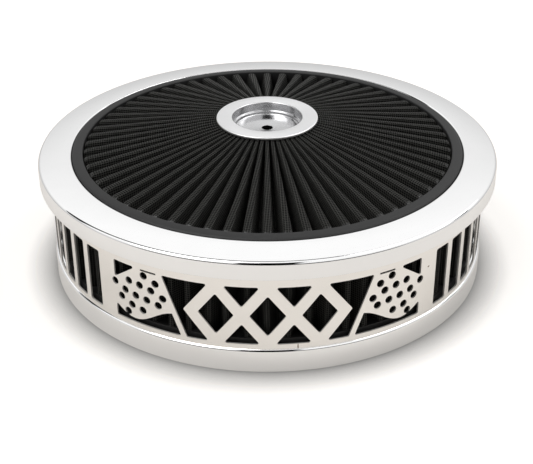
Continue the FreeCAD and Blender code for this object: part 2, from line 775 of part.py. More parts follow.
SUB_PARTS = [
    lid_rim(),
    lid_filter_rim(),
    lid_filter_pleats(),
    hub_cup(),
    hub_potting(),
    hub_backing_plate(),
    side_filter_pleats(),
    filter_cap("side_filter_lower_cap", "shelf_height", "+"),
    filter_cap("side_filter_upper_cap", "(shelf_height + filter_height)", "-"),
    surround_band(),
    band_splice_plate(),
    band_rivets(),
    base_pan(),
    neck_gasket(),
]
doc.recompute()

for item in doc.Objects:
    if "Invalid" in item.State or "Error" in item.State:
        raise RuntimeError(item.Label + " failed to build: " + ", ".join(item.State))

for item in SUB_PARTS:
    if item.Shape.isNull() or not item.Shape.isValid() or item.Shape.Volume <= 0:
        raise RuntimeError(item.Label + " has no sound shape")

for item in SUB_PARTS:
    item.Shape.exportStep("parts/" + item.Label + ".step")
    print(item.Label, len(item.Shape.Solids), "solid(s),", round(item.Shape.Volume / 1000, 2), "cm3")
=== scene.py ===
# %% [markdown]
# # A round air cleaner, finished in Blender
# The construction arrives as a fixed frame: every piece at its real size and place. This script
# gives those pieces their looks. Bright sheet metal shows every facet, so the turned and pressed
# rings are made again here as smooth surfaces of the same size. The folded filters get their
# rounded folds and wire mesh, and the small hidden pieces keep their own mesh with a better finish.

# %% Load the frame, with a helper that reads a piece's box
import math

import bmesh
import bpy
import numpy as np
from mathutils import Matrix, Vector
from mathutils.geometry import delaunay_2d_cdt


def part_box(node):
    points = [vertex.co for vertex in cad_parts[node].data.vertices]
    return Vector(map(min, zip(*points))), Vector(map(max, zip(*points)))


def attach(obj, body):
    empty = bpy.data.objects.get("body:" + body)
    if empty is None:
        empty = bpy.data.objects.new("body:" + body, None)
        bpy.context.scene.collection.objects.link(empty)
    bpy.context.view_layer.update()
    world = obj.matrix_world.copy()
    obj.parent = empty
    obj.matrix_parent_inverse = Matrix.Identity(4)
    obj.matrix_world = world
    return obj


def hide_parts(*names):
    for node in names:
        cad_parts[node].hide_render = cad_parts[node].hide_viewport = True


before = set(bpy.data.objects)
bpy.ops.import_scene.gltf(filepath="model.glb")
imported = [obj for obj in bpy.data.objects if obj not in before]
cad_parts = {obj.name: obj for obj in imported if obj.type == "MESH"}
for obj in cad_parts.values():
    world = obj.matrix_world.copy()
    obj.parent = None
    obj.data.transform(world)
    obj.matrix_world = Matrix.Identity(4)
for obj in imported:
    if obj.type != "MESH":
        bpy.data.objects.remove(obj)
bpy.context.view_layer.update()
MM = 0.001
print("frame loaded:", sorted(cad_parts))

# %% [markdown]
# ## Helpers for colours and nodes
# Colours are easiest to read as the hex values of a paint chart, but the renderer works in linear
# light, so one function converts them. A second small function adds a node with its settings and
# links. The others are the steps that every finish needs, such as clouds, a blend of two colours or
# a shallow relief, which keeps each material down to a few lines that read like a recipe.


# %% Colour and node helpers
def linear(hex_colour):
    """sRGB hex to linear RGBA: each channel c becomes c/12.92 or ((c + 0.055) / 1.055) ** 2.4."""
    channels = np.array([int(hex_colour[i:i + 2], 16) for i in (1, 3, 5)]) / 255
    low = channels / 12.92
    high = ((channels + 0.055) / 1.055) ** 2.4
    return (*np.where(channels <= 0.04045, low, high), 1.0)


def add_node(tree, kind, settings=None, inputs=None):
    """Add a node, set its properties, then set or link its inputs (a socket is linked, a value is set)."""
    node = tree.nodes.new(kind)
    for name, setting in (settings or {}).items():
        setattr(node, name, setting)
    for name, source in (inputs or {}).items():
        if isinstance(source, bpy.types.NodeSocket):
            tree.links.new(source, node.inputs[name])
        else:
            node.inputs[name].default_value = source
    return node


def new_material(name, inputs):
    """A material with one Principled shader whose sockets are set from inputs."""
    material = bpy.data.materials.new(name)
    material.use_nodes = True
    tree = material.node_tree
    tree.nodes.clear()
    shader = add_node(tree, "ShaderNodeBsdfPrincipled", inputs=inputs)
    add_node(tree, "ShaderNodeOutputMaterial", inputs={"Surface": shader.outputs["BSDF"]})
    return material, tree, shader


def math_node(tree, operation, first, second=0.0):
    """A sum, product or other arithmetic of two sockets or numbers."""
    return add_node(tree, "ShaderNodeMath", {"operation": operation}, {0: first, 1: second}).outputs[0]


def ranged(tree, value, start, end, low=0.0, high=1.0, kind="LINEAR"):
    """Carry a value's run from start to end over to a run from low to high, and hold it beyond."""
    return add_node(tree, "ShaderNodeMapRange", {"interpolation_type": kind}, {
        "Value": value, "From Min": start, "From Max": end, "To Min": low, "To Max": high}).outputs[0]


def noise(tree, where, scale, detail):
    """Clouds from 0 to 1, about as many to a unit of length as the scale says."""
    return add_node(tree, "ShaderNodeTexNoise", inputs={
        "Vector": where, "Scale": scale, "Detail": detail}).outputs["Fac"]


def blend(tree, share, first, second):
    """A colour between two by a share from 0 to 1, each given as a hex colour or as a socket."""
    mix = add_node(tree, "ShaderNodeMix", {"data_type": "RGBA"}, {"Factor": share})
    for name, colour in (("A", first), ("B", second)):
        if isinstance(colour, str):
            mix.inputs[name].default_value = linear(colour)
        else:
            tree.links.new(colour, mix.inputs[name])
    return mix.outputs["Result"]


def emboss(tree, shader, height, strength, depth_mm):
    """Let a pattern of heights tilt the shading, as if it were so many mm deep."""
    bump = add_node(tree, "ShaderNodeBump", inputs={
        "Height": height, "Strength": strength, "Distance": depth_mm * MM})
    tree.links.new(bump.outputs[0], shader.inputs["Normal"])


# %% [markdown]
# ## Helpers for surfaces
# Nearly every piece is round, so most shapes are an outline of radius and height turned about the
# upright axis. The outline's corners get small arcs, because pressed and moulded edges are never
# sharp and the arc is what catches the light. Everything is worked out as whole numpy arrays.


# %% Outline and surface helpers
def round_corners(corners, radii, steps=5):
    """Turn each corner of a closed outline into an arc. The arc's centre lies on the corner's bisector
    at radius / sin(half angle), and the radius shrinks where the neighbouring sides are too short."""
    here = np.asarray(corners, float)
    before = np.roll(here, 1, axis=0) - here
    after = np.roll(here, -1, axis=0) - here
    length_before = np.linalg.norm(before, axis=1)
    length_after = np.linalg.norm(after, axis=1)
    before = before / length_before[:, None]
    after = after / length_after[:, None]
    half = np.arccos(np.clip((before * after).sum(axis=1), -0.999999, 0.999999)) / 2
    room = 0.48 * np.minimum(length_before, length_after)
    reach = np.minimum(np.asarray(radii, float) / np.tan(half), room)
    radius = reach * np.tan(half)
    bisector = before + after
    bisector = bisector / np.linalg.norm(bisector, axis=1)[:, None]
    centre = here + bisector * (radius / np.sin(half))[:, None]
    first = here + before * reach[:, None] - centre
    last = here + after * reach[:, None] - centre
    start = np.arctan2(first[:, 1], first[:, 0])
    turn = np.arctan2(last[:, 1], last[:, 0]) - start
    turn = (turn + np.pi) % (2 * np.pi) - np.pi
    angle = start[:, None] + turn[:, None] * np.linspace(0, 1, steps)
    arc = np.stack([np.cos(angle), np.sin(angle)], axis=-1) * radius[:, None, None]
    return (centre[:, None, :] + arc).reshape(-1, 2)


def grid_mesh(name, points, uv=None, smooth_angle=35.0):
    """A mesh from a grid of points that closes on itself both ways, so that it has no open edge.
    Face (i, j) joins point (i, j) with its neighbours one step along each direction."""
    rows, columns = points.shape[:2]
    i = np.arange(rows)[:, None]
    j = np.arange(columns)[None, :]
    corners = [(i, j), (i, j + 1), (i + 1, j + 1), (i + 1, j)]
    faces = np.stack([(a % rows) * columns + b % columns for a, b in corners], axis=-1).reshape(-1, 4)
    mesh = bpy.data.meshes.new(name)
    mesh.from_pydata(points.reshape(-1, 3).tolist(), [], faces.tolist())
    if uv is not None:
        layer = mesh.uv_layers.new(name="surface_mm")
        loops = np.stack([uv[a + 0 * b, b + 0 * a] for a, b in corners], axis=-2).reshape(-1, 2)
        layer.data.foreach_set("uv", loops.astype(np.float32).ravel())
    return finish_mesh(mesh, smooth_angle)


def finish_mesh(mesh, smooth_angle):
    """Point the faces outwards, shade smooth with sharp edges over an angle, and make the object."""
    work = bmesh.new()
    work.from_mesh(mesh)
    bmesh.ops.recalc_face_normals(work, faces=work.faces[:])
    work.to_mesh(mesh)
    work.free()
    mesh.polygons.foreach_set("use_smooth", np.ones(len(mesh.polygons), dtype=bool))
    mesh.set_sharp_from_angle(angle=math.radians(smooth_angle))
    mesh.update()
    piece = bpy.data.objects.new(mesh.name, mesh)
    bpy.context.scene.collection.objects.link(piece)
    return piece


def turned(name, corners, segments=288, steps=5):
    """A ring: an outline of corners (radius, height, rounding) in mm, turned about Z in even steps."""
    corners = np.array(corners)
    outline = round_corners(corners[:, :2], corners[:, 2], steps) * MM
    angle = np.linspace(0, 2 * np.pi, segments, endpoint=False)
    x = outline[:, :1] * np.sin(angle)
    y = -outline[:, :1] * np.cos(angle)
    z = np.repeat(outline[:, 1:], segments, axis=1)
    return grid_mesh(name, np.stack([x, y, z], axis=-1))


def dress(piece, material, node):
    """Give a new piece its finish and let it stand for a construction node."""
    piece.data.materials.clear()
    piece.data.materials.append(material)
    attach(piece, "root")
    if node:
        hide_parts(node)
    print(f"{piece.name}: {len(piece.data.polygons)} faces")


def reach_of(node):
    """Outside radius, lowest and highest point of a round node, in mm."""
    low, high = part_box(node)
    return high.y / MM, low.z / MM, high.z / MM


# %% [markdown]
# ## Camera
# The picture was taken from the front and above, with a lens of about 77 mm and a little under a
# metre away. A camera that looks from there at a point just over the floor gives the same ellipses.

# %% Camera
CAMERA_PLACE = Vector((0.0, -0.8122, 0.4830))
CAMERA_AIM = Vector((-0.0009, 0.0, 0.0141))
CAMERA_ROLL = math.radians(-0.22)
LENS_MM = 77.3

camera_data = bpy.data.cameras.new("camera")
camera_data.lens = LENS_MM
camera_data.sensor_width = 36.0
camera = bpy.data.objects.new("camera", camera_data)
bpy.context.scene.collection.objects.link(camera)
look = (CAMERA_AIM - CAMERA_PLACE).to_track_quat("-Z", "Y").to_matrix().to_4x4()
camera.matrix_world = Matrix.Translation(CAMERA_PLACE) @ look @ Matrix.Rotation(CAMERA_ROLL, 4, "Z")
bpy.context.scene.camera = camera
print("camera", round((CAMERA_AIM - CAMERA_PLACE).length, 3), "m from its aim")

# %% [markdown]
# ## Floor, world and lamps
# Chrome is only as good as what it mirrors. Here that is a white studio: a pale floor, a bright
# ceiling, and three dark things: the photographer behind the camera, the gap where the ceiling's
# screen ends, and the line where the floor ends. They draw the thin black lines along the rolled
# edges. Mirrors see this room and the camera sees plain white. The floor keeps the soft shadow,
# and close to the object a painted contact shadow darkens its colour further.

# %% Floor
FLOOR_HALF_M = 6.0
# Painted contact shadow on the floor: its reach, its share in mirrors, its falloff and its colour.
PAINTED_SHADOW_REACH_M = 0.028
PAINTED_SHADOW_IN_MIRRORS = 0.3
PAINTED_SHADOW_POWER = 2.0
PAINTED_SHADOW_COLOUR = "#303030"
FLOOR_COLOUR = "#E9E5E0"
FLOOR_LIFT = 0.45
LIFT_IN_MIRRORS = 0.1
floor_mesh = bpy.data.meshes.new("floor")
floor_mesh.from_pydata(
    [(-FLOOR_HALF_M, -FLOOR_HALF_M, 0), (FLOOR_HALF_M, -FLOOR_HALF_M, 0),
     (FLOOR_HALF_M, FLOOR_HALF_M, 0), (-FLOOR_HALF_M, FLOOR_HALF_M, 0)], [], [(0, 1, 2, 3)],
)
floor = bpy.data.objects.new("floor", floor_mesh)
bpy.context.scene.collection.objects.link(floor)


def seen_rays(tree, mirrored_share):
    """1 for what the camera sees directly or through clear pieces, and a share of it in mirrors."""
    paths = add_node(tree, "ShaderNodeLightPath").outputs
    mirrored = math_node(tree, "MULTIPLY", paths["Is Glossy Ray"], mirrored_share)
    direct = math_node(tree, "MAXIMUM", paths["Is Camera Ray"], paths["Is Transmission Ray"])
    return math_node(tree, "MAXIMUM", direct, mirrored)


floor_material = bpy.data.materials.new("white_studio_floor")
floor_material.use_nodes = True
tree = floor_material.node_tree
tree.nodes.clear()
# Painted shadow: ambient occlusion near the object darkens the floor's colour towards dark grey and dims
# its glow, fully for the camera and partly in mirrors.
shadow_occlusion = add_node(tree, "ShaderNodeAmbientOcclusion", inputs={"Distance": PAINTED_SHADOW_REACH_M})
free_share = math_node(tree, "POWER", shadow_occlusion.outputs["AO"], PAINTED_SHADOW_POWER)
painted_shadow_share = math_node(tree, "SUBTRACT", 1.0, free_share)
camera_ray = add_node(tree, "ShaderNodeLightPath").outputs["Is Camera Ray"]
weight = math_node(tree, "MAXIMUM", camera_ray, PAINTED_SHADOW_IN_MIRRORS)
outside_painted_shadow = math_node(tree, "SUBTRACT", 1.0, math_node(tree, "MULTIPLY", painted_shadow_share, weight))
floor_and_painted_shadow = blend(tree, outside_painted_shadow, PAINTED_SHADOW_COLOUR, FLOOR_COLOUR)
diffuse = add_node(tree, "ShaderNodeBsdfDiffuse", inputs={"Color": floor_and_painted_shadow})
lift_outside_painted_shadow = math_node(tree, "MULTIPLY", outside_painted_shadow, FLOOR_LIFT)
lift = math_node(tree, "MULTIPLY", seen_rays(tree, LIFT_IN_MIRRORS), lift_outside_painted_shadow)
glow = add_node(tree, "ShaderNodeEmission", inputs={"Color": (1, 1, 1, 1), "Strength": lift})
both = add_node(tree, "ShaderNodeAddShader", inputs={0: diffuse.outputs[0], 1: glow.outputs[0]})
add_node(tree, "ShaderNodeOutputMaterial", inputs={"Surface": both.outputs[0]})
floor_mesh.materials.append(floor_material)
print("floor half width", FLOOR_HALF_M, "m")


# %% World
WORLD_LIGHT = 0.72
WORLD_SEEN = 0.28
CEILING = ((0.0, "#BFBFBF"), (0.17, "#D0D0D0"), (0.26, "#D9D9D9"), (0.33, "#E2E2E2"),
           (0.40, "#EBEBEB"), (0.50, "#F6F6F6"), (0.60, "#FEFEFE"), (1.0, "#FFFFFF"))
DARK_COLOUR = "#101010"


def band_mask(tree, value, middle, half_width, soft):
    """1 while a value is within half_width of its middle, falling to 0 over a soft edge."""
    away = math_node(tree, "ABSOLUTE", math_node(tree, "SUBTRACT", value, middle))
    return ranged(tree, away, half_width + soft, half_width, kind="SMOOTHSTEP")


world = bpy.data.worlds.new("white_studio")
bpy.context.scene.world = world
world.use_nodes = True
tree = world.node_tree
tree.nodes.clear()
direction = add_node(tree, "ShaderNodeTexCoord").outputs["Generated"]
parts = add_node(tree, "ShaderNodeSeparateXYZ", inputs={0: direction})
ceiling = add_node(tree, "ShaderNodeValToRGB", inputs={0: parts.outputs["Z"]})
ramp = ceiling.color_ramp
ramp.elements[0].color = linear(CEILING[0][1])
ramp.elements[1].color = linear(CEILING[-1][1])
for height, colour in CEILING[1:-1]:
    ramp.elements.new(height).color = linear(colour)

# The angle over the horizon in front, up over the top and down behind: 0 to 180 degrees.
forward = math_node(tree, "MULTIPLY", parts.outputs["Y"], -1.0)
over = math_node(tree, "DEGREES", math_node(tree, "ARCTAN2", parts.outputs["Z"], forward))
DARK_THINGS = (
    # name, half width and softness sideways, then middle, half height and softness in degrees
    ("photographer", 0.18, 0.08, 32.0, 33.0, 6.0),
    ("end of the ceiling's screen", 0.80, 0.15, 122.0, 8.0, 2.0),
    ("end of the floor", 0.85, 0.10, 8.0, 10.0, 2.0),
)
dark = 0.0
for name, half_width, soft_side, middle, half_height, soft_height in DARK_THINGS:
    sideways = band_mask(tree, parts.outputs["X"], 0.0, half_width, soft_side)
    upwards = band_mask(tree, over, middle, half_height, soft_height)
    dark = math_node(tree, "MAXIMUM", dark, math_node(tree, "MULTIPLY", sideways, upwards))
room = blend(tree, dark, ceiling.outputs["Color"], DARK_COLOUR)
camera_ray = add_node(tree, "ShaderNodeLightPath").outputs["Is Camera Ray"]
seen = blend(tree, camera_ray, room, "#FFFFFF")
seen_light = math_node(tree, "MULTIPLY", seen_rays(tree, 1.0), WORLD_SEEN)
strength = math_node(tree, "ADD", seen_light, WORLD_LIGHT)
sky = add_node(tree, "ShaderNodeBackground", inputs={"Color": seen, "Strength": strength})
add_node(tree, "ShaderNodeOutputWorld", inputs={"Surface": sky.outputs[0]})
print("world: dark things", [thing[0] for thing in DARK_THINGS])


# %% Lamps
def soft_box(name, place, aim, size, power):
    """A square area lamp that faces aim."""
    lamp = bpy.data.lights.new(name, "AREA")
    lamp.size = size
    lamp.energy = power
    holder = bpy.data.objects.new(name, lamp)
    bpy.context.scene.collection.objects.link(holder)
    turn = (Vector(aim) - Vector(place)).to_track_quat("-Z", "Y").to_matrix().to_4x4()
    holder.matrix_world = Matrix.Translation(place) @ turn
    return holder


soft_box("key_soft_box", (-0.7, -0.5, 1.5), (0, 0, 0), 1.0, 9.0)
soft_box("fill_soft_box", (0.9, 0.4, 1.3), (0, 0, 0), 1.0, 6.0)
bpy.context.scene.view_settings.view_transform = "Standard"
print("lamps:", [lamp.name for lamp in bpy.data.lights])

# %% [markdown]
# ## Finishes
# Bright chrome plate on pressed steel mirrors the room; its faint waviness comes from the sheet
# below. The band is bright plate too, a touch warmer and softer. The hub is turned aluminium with
# fine rings from the tool. The moulded rims are matt dark grey urethane. The filters are black
# cotton under a fine wire mesh, whose wires are drawn from the surface's own millimetres.


# %% Metal finishes
def sheet_metal(name, colours, roughness, wave_mm, wave_height_mm, metallic=1.0):
    """Plated sheet: a mirror with slightly uneven roughness and a very shallow waviness."""
    material, tree, shader = new_material(name, {"Metallic": metallic})
    where = add_node(tree, "ShaderNodeTexCoord").outputs["Object"]
    film = noise(tree, where, 60.0, 4.0)
    tone = ranged(tree, film, 0.0, 1.0, roughness * 0.8, roughness * 1.3)
    tree.links.new(tone, shader.inputs["Roughness"])
    tree.links.new(blend(tree, film, *colours), shader.inputs["Base Color"])
    waves = noise(tree, where, 1 / (wave_mm * MM), 1.0)
    emboss(tree, shader, waves, 1.0, wave_height_mm)
    return material


# Bright chrome: cool, almost colourless, nearly a perfect mirror.
chrome = sheet_metal("bright_chrome_plate", ("#FBFBFB", "#FFFFFF"), 0.05, 45.0, 0.012)
# Bright plate on the rolled band: a little warmer and softer than the pressed pieces.
band_plate = sheet_metal("bright_band_plate", ("#F9F6F1", "#FEFBF7"), 0.10, 30.0, 0.012)


def mark_wear(material, marks, colour):
    """Thin stains in the plate: each mark is a soft spot of given place and half sizes in metres.
    It is full up to 0.7 of its half sizes and gone at 1.2 of them, over a slightly wobbly outline."""
    tree = material.node_tree
    shader = next(node for node in tree.nodes if node.type == "BSDF_PRINCIPLED")
    where = add_node(tree, "ShaderNodeTexCoord").outputs["Object"]
    wobble = add_node(tree, "ShaderNodeTexNoise", inputs={"Vector": where, "Scale": 900.0}).outputs["Color"]
    shifted = add_node(tree, "ShaderNodeVectorMath", {"operation": "MULTIPLY_ADD"}, {
        0: wobble, 1: (0.5 * MM,) * 3, 2: where}).outputs[0]
    stained = 0.0
    for place, half_size in marks:
        away = add_node(tree, "ShaderNodeVectorMath", {"operation": "SUBTRACT"}, {0: shifted, 1: place})
        shares = add_node(tree, "ShaderNodeVectorMath", {"operation": "DIVIDE"}, {
            0: away.outputs[0], 1: half_size})
        size = add_node(tree, "ShaderNodeVectorMath", {"operation": "LENGTH"}, {0: shares.outputs[0]})
        spot = ranged(tree, size.outputs["Value"], 1.2, 0.7, kind="SMOOTHSTEP")
        stained = math_node(tree, "MAXIMUM", stained, spot)
    plain = shader.inputs["Base Color"].links[0].from_socket
    tree.links.new(blend(tree, stained, plain, colour), shader.inputs["Base Color"])


# A brown hairline across the band's lower rail and a speck on the plain strip beside the flag.
WEAR = (
    ((0.0210, -0.1679, 0.0202), (0.4 * MM, 3.0 * MM, 2.2 * MM)),
    ((0.1136, -0.1254, 0.0585), (0.9 * MM, 1.2 * MM, 0.6 * MM)),
)
mark_wear(band_plate, WEAR, "#6E5540")
# The punched edges of the band: dull plate over the torn metal of the cut, so mostly not a mirror.
cut_edge = sheet_metal("plated_cut_edge", ("#B4B2AE", "#C8C6C2"), 0.40, 2.0, 0.01, metallic=0.2)
# Zinc plate on the seam's plate, rivets and washer: greyer, with a fine crystalline bloom.
zinc = sheet_metal("zinc_plate", ("#9EA2A6", "#B9BDC0"), 0.35, 3.0, 0.02)


def turned_aluminium():
    """Satin aluminium with rings from the turning tool, a ridge every 0.35 mm of radius or height.
    The cup's inside, within 27 mm of the axis, is turned smoother and mirrors more, and its colour is
    painted darker there as shade in the recess."""
    cup_edge = 27.0 * MM
    flange_start = 27.8 * MM
    material, tree, shader = new_material("turned_aluminium", {"Metallic": 1.0, "Anisotropic": 0.6})
    tangent = add_node(tree, "ShaderNodeTangent", {"direction_type": "RADIAL", "axis": "Z"})
    tree.links.new(tangent.outputs[0], shader.inputs["Tangent"])
    where = add_node(tree, "ShaderNodeTexCoord").outputs["Object"]
    parts = add_node(tree, "ShaderNodeSeparateXYZ", inputs={0: where})
    flat = add_node(tree, "ShaderNodeCombineXYZ", inputs={"X": parts.outputs["X"], "Y": parts.outputs["Y"]})
    length = add_node(tree, "ShaderNodeVectorMath", {"operation": "LENGTH"}, {0: flat.outputs[0]})
    radius = length.outputs["Value"]
    finish = ranged(tree, radius, cup_edge, flange_start, 0.16, 0.34)
    tree.links.new(finish, shader.inputs["Roughness"])
    turns = math_node(tree, "ADD", radius, parts.outputs["Z"])
    ridge = math_node(tree, "SINE", math_node(tree, "MULTIPLY", turns, 2 * math.pi / (0.35 * MM)))
    emboss(tree, shader, ridge, 0.08, 0.01)
    flange_colour = blend(tree, noise(tree, where, 90.0, 5.0), "#F2F2F3", "#FCFCFC")
    # Painted shade: the inside of the cup is coloured a darker grey than the flange.
    cup_painted_shade = ranged(tree, radius, flange_start, cup_edge)
    tree.links.new(blend(tree, cup_painted_shade, flange_colour, "#D2D2D3"), shader.inputs["Base Color"])
    return material


aluminium = turned_aluminium()


# %% Soft finishes
def moulded_rubber(name, colours, roughness, grain_mm):
    """Matt moulded rubber or urethane: dielectric, with the mould's fine grain."""
    material, tree, shader = new_material(name, {"Roughness": roughness, "IOR": 1.5})
    where = add_node(tree, "ShaderNodeTexCoord").outputs["Object"]
    grain = noise(tree, where, 1 / (grain_mm * MM), 3.0)
    emboss(tree, shader, grain, 0.6, 0.05)
    cloud = noise(tree, where, 25.0, 4.0)
    tree.links.new(blend(tree, cloud, *colours), shader.inputs["Base Color"])
    return material


# Dark grey urethane of the moulded rims, and the blacker rubber of the gasket.
urethane = moulded_rubber("dark_grey_urethane", ("#191919", "#1F1F1F"), 0.55, 0.8)
black_rubber = moulded_rubber("black_rubber", ("#101010", "#181818"), 0.6, 0.6)

WIRE_PITCH = 1.8
WIRE_SHARE = 0.14
RESIN_START = 140.6
RESIN_FULL = 141.6


def wire_line(tree, coordinate, pitch_mm, width_share):
    """1 on a wire and 0 between: the distance from the nearest line, in shares of the pitch."""
    share = math_node(tree, "PINGPONG", math_node(tree, "DIVIDE", coordinate, pitch_mm), 0.5)
    return ranged(tree, share, width_share, width_share * 0.35, kind="SMOOTHSTEP")


def meshed_gauze(name, wire_colour, cloth_colour, pitch_mm):
    """Black cotton gauze under wire mesh. The surface's UV is in millimetres, so the wires keep their
    pitch on every fold."""
    material, tree, shader = new_material(name, {"IOR": 1.5, "Specular IOR Level": 0.2})
    where = add_node(tree, "ShaderNodeUVMap", {"uv_map": "surface_mm"}).outputs["UV"]
    parts = add_node(tree, "ShaderNodeSeparateXYZ", inputs={0: where})
    across = wire_line(tree, parts.outputs["X"], pitch_mm, WIRE_SHARE)
    along = wire_line(tree, parts.outputs["Y"], pitch_mm, WIRE_SHARE)
    wires = math_node(tree, "MAXIMUM", across, along)
    worn = ranged(tree, noise(tree, where, 0.35, 3.0), 0.0, 1.0, 0.55, 1.0)
    mask = math_node(tree, "MULTIPLY", wires, worn)
    tree.links.new(blend(tree, mask, cloth_colour, wire_colour), shader.inputs["Base Color"])
    tree.links.new(ranged(tree, wires, 0.0, 1.0, 0.95, 0.42), shader.inputs["Roughness"])
    emboss(tree, shader, wires, 0.8, 0.2)
    # The lid folds' outer ends, at this distance from the axis, are sealed with glossy resin.
    resin = ranged(tree, parts.outputs["Y"], RESIN_START, RESIN_FULL, 0.0, 0.5)
    tree.links.new(resin, shader.inputs["Coat Weight"])
    shader.inputs["Coat Roughness"].default_value = 0.12
    return material


gauze = meshed_gauze("black_gauze_under_wire_mesh", "#4C4C48", "#030303", WIRE_PITCH)
print("finishes:", [material.name for material in bpy.data.materials])

# %% [markdown]
# ## Lid rim
# The lid's rim is one pressing: a top that falls a little outwards, a tight bend and a short skirt,
# with the inner edge turned down. It could keep its construction mesh, but chrome shows every flat
# of it, so the same outline is turned here in 288 steps with its bends as arcs.

# %% Lid rim
SHEET = 1.2
RAW_EDGE = 0.35
lid_radius, skirt_foot, lid_top = reach_of("lid_rim")
LID_EDGE = 152.0
LID_FALL = 2.2
LID_SHOULDER = 2.6
LID_BEAD = 2.0
LIP_DEPTH = 3.2
lip_foot = lid_top - LIP_DEPTH
shoulder_top = lid_top - LID_FALL
lid_rim = turned("chromed_lid_rim", [
    (LID_EDGE, lip_foot, 0.3),
    (LID_EDGE, lid_top, LID_BEAD),
    (lid_radius, shoulder_top, LID_SHOULDER),
    (lid_radius, skirt_foot, RAW_EDGE),
    (lid_radius - SHEET, skirt_foot, RAW_EDGE),
    (lid_radius - SHEET, shoulder_top - SHEET, LID_SHOULDER - SHEET),
    (LID_EDGE + SHEET, lid_top - SHEET, LID_BEAD - SHEET),
    (LID_EDGE + SHEET, lip_foot, 0.3),
], steps=8)
dress(lid_rim, chrome, "lid_rim")

# %% [markdown]
# ## Base pan
# The pan's skirt and shelf show all round, and its sunken panel and neck show only from below. It
# is the same kind of pressing as the lid, so it is made the same way, from its own outline.

# %% Base pan
base_radius, pan_foot, locator_top = reach_of("base_pan")
SHELF = 18.4
BASE_SHOULDER = 2.0
PANEL = 10.0
PANEL_EDGE = 134.0
PANEL_BEND = 3.0
LOCATOR = 153.3
LOCATOR_WIDTH = 2.6
NECK = 65.1
NECK_BEND = 3.0
NECK_FOOT = 1.5
BEAD_MIDDLE = 100.0
BEAD_HALF = 6.0
BEAD_RISE = 1.8
BEAD_ROUNDING = 8.0
base_pan = turned("chromed_base_pan", [
    (base_radius, pan_foot, RAW_EDGE),
    (base_radius, SHELF, BASE_SHOULDER),
    (LOCATOR, SHELF, 0.4),
    (LOCATOR, locator_top, 0.7),
    (LOCATOR - LOCATOR_WIDTH, locator_top, 0.7),
    (PANEL_EDGE, PANEL, PANEL_BEND),
    (BEAD_MIDDLE + BEAD_HALF, PANEL, PANEL_BEND),
    (BEAD_MIDDLE, PANEL + BEAD_RISE, BEAD_ROUNDING),
    (BEAD_MIDDLE - BEAD_HALF, PANEL, PANEL_BEND),
    (NECK, PANEL, NECK_BEND),
    (NECK, NECK_FOOT, 0.3),
    (NECK + SHEET, NECK_FOOT, 0.3),
    (NECK + SHEET, PANEL - SHEET, NECK_BEND - SHEET),
    (BEAD_MIDDLE - BEAD_HALF, PANEL - SHEET, PANEL_BEND),
    (BEAD_MIDDLE, PANEL - SHEET + BEAD_RISE, BEAD_ROUNDING),
    (BEAD_MIDDLE + BEAD_HALF, PANEL - SHEET, PANEL_BEND),
    (PANEL_EDGE + SHEET / 2, PANEL - SHEET, PANEL_BEND),
    (LOCATOR - LOCATOR_WIDTH + SHEET / 2, locator_top - SHEET, 0.5),
    (LOCATOR - SHEET, locator_top - SHEET, 0.2),
    (LOCATOR - SHEET, SHELF - SHEET, 0.8),
    (base_radius - SHEET, SHELF - SHEET, BASE_SHOULDER - SHEET),
    (base_radius - SHEET, pan_foot, RAW_EDGE),
])
dress(base_pan, chrome, "base_pan")

# %% [markdown]
# ## Hub cup
# The hub is turned from aluminium: a flange that holds the folds down, and a stepped cup for the
# nut with the stud's hole in its floor. Small radii on its edges give the thin bright lines.

# %% Hub
flange_radius, spigot_foot, hub_top = reach_of("hub_cup")
FLANGE_DEPTH = 2.2
FLANGE_EDGE = 0.9
CUP = 27.0
CUP_STEP = 25.0
CUP_STEP_DEPTH = 7.0
CUP_DEPTH = 9.4
CUP_FLOOR = 2.0
STUD_HOLE = 4.2
SPIGOT = 29.3
SPIGOT_WALL = 2.0
hub = turned("turned_hub_cup", [
    (STUD_HOLE, hub_top - CUP_DEPTH - CUP_FLOOR, 0.2),
    (SPIGOT - SPIGOT_WALL, hub_top - CUP_DEPTH - CUP_FLOOR, 0.4),
    (SPIGOT - SPIGOT_WALL, spigot_foot, 0.2),
    (SPIGOT, spigot_foot, 0.3),
    (SPIGOT, hub_top - FLANGE_DEPTH, 0.2),
    (flange_radius, hub_top - FLANGE_DEPTH, 0.3),
    (flange_radius, hub_top, FLANGE_EDGE),
    (CUP, hub_top, FLANGE_EDGE),
    (CUP, hub_top - CUP_STEP_DEPTH, 0.5),
    (CUP_STEP, hub_top - CUP_STEP_DEPTH, 0.4),
    (CUP_STEP, hub_top - CUP_DEPTH, 0.8),
    (STUD_HOLE, hub_top - CUP_DEPTH, 0.3),
], segments=160)
dress(hub, aluminium, "hub_cup")

# %% [markdown]
# ## Lid filter's moulded rim
# Urethane is poured round the ends of the folds, so the rim is soft-edged and dead matt. A thin
# dark gap parts it from the chrome.

